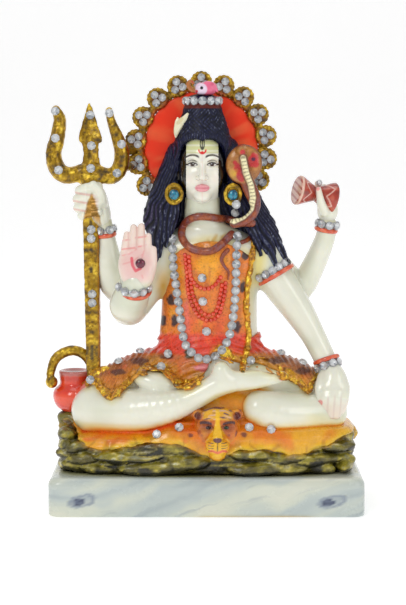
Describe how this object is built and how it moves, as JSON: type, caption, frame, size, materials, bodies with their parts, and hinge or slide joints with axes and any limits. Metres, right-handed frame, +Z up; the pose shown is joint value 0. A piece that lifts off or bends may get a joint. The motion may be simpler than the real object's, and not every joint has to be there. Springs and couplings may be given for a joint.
{
  "type": "shiva figure",
  "caption": "Painted resin figure of the god Shiva seated on a rock with trident, drum, cobra and halo, trimmed with glued crystals, on a veined slab.",
  "frame": {"origin": "middle of the slab's underside", "axes": "+Z up, -Y the way the figure faces, +X to the viewer's right (the figure's left)"},
  "size_m": [0.1589, 0.0777, 0.2168],
  "materials": {
    "painted_resin": "glossy painted casting resin: pearly white skin, orange garment, gold trim, dark blue-black hair",
    "veined_slab": "glossy pale resin with grey-blue veins, like marble",
    "crystal": "faceted, foil-backed",
    "turquoise_stone": "glossy turquoise-blue cabochon",
    "dark_red_stone": "foil-backed, dark red"
  },
  "bodies": {
    "root": {"shiva_casting": "painted_resin", "trident_crystal_left_tip": "crystal", "trident_crystal_left_middle": "crystal", "trident_crystal_left_foot": "crystal", "trident_crystal_blade_tip": "crystal", "trident_crystal_blade_foot": "crystal", "trident_crystal_middle": "crystal", "trident_crystal_right_tip": "crystal", "trident_crystal_right_middle": "crystal", "trident_crystal_right_foot": "crystal", "pot_crystal": "crystal", "thigh_crystal_left_outer": "crystal", "thigh_crystal_left_top": "crystal", "thigh_crystal_left_inner": "crystal", "thigh_crystal_left_lower": "crystal", "thigh_crystal_right_inner": "crystal", "thigh_crystal_right_top": "crystal", "thigh_crystal_right_outer": "crystal", "skin_crystal_left_outer": "crystal", "skin_crystal_left_inner": "crystal", "skin_crystal_right_inner": "crystal", "skin_crystal_right_outer": "crystal", "chest_crystal_upper": "crystal", "chest_crystal_middle": "crystal", "chest_crystal_lower": "crystal", "shaft_crystal_upper_top": "crystal", "shaft_crystal_upper_foot": "crystal", "shaft_crystal_lower_top": "crystal", "shaft_crystal_lower_foot": "crystal", "ear_stone_left": "turquoise_stone", "ear_stone_right": "turquoise_stone", "palm_stone": "dark_red_stone", "drum_crystal": "crystal", "necklace_crystals": "crystal", "necklace_end_crystals": "crystal", "topknot_crystals": "crystal", "raised_wrist_crystals": "crystal", "trident_wrist_crystals": "crystal", "knee_wrist_crystals": "crystal", "drum_wrist_crystals": "crystal", "armlet_crystals": "crystal", "halo_crystals_1": "crystal", "halo_crystals_2": "crystal", "halo_crystals_3": "crystal", "halo_crystals_4": "crystal", "halo_crystals_5": "crystal", "halo_crystals_6": "crystal", "halo_crystals_7": "crystal", "halo_crystals_8": "crystal", "halo_crystals_9": "crystal", "halo_crystals_10": "crystal", "halo_crystals_11": "crystal", "halo_crystals_12": "crystal", "halo_crystals_13": "crystal", "plinth_slab": "veined_slab"}
  },
  "joints": []
}
